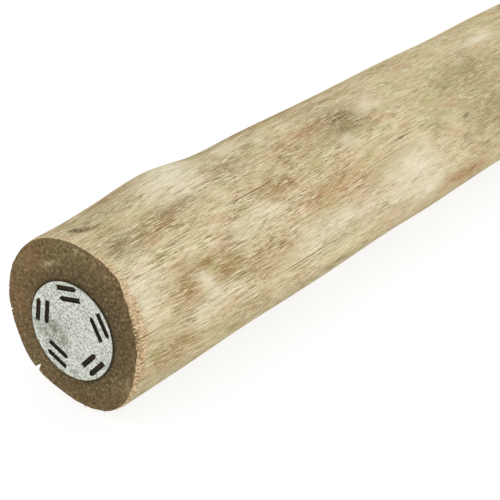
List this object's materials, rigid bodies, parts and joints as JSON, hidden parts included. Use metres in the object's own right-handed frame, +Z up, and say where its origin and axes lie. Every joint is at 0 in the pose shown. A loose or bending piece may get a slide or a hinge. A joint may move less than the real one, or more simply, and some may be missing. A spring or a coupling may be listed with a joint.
{
  "type": "timber fence post",
  "caption": "Round debarked timber farm post with a toothed steel anti-split plate pressed into each sawn end.",
  "frame": {"origin": "on the floor under the middle of the lying post: centre of the bounding box in X and Y, bottom in Z", "axes": "+Y along the post from its head end to its butt end, +Z up, +X to the right when the head end is faced"},
  "size_m": [0.1822, 1.803, 0.1851],
  "materials": {
    "timber": "weathered debarked roundwood, cream to tan with olive and brown stains, dark brown sawn ends",
    "galvanised_steel": "dull light grey galvanised sheet with fine spangle and some dirt"
  },
  "bodies": {
    "root": {"post": "timber", "head_plate": "galvanised_steel", "butt_plate": "galvanised_steel"}
  },
  "joints": []
}
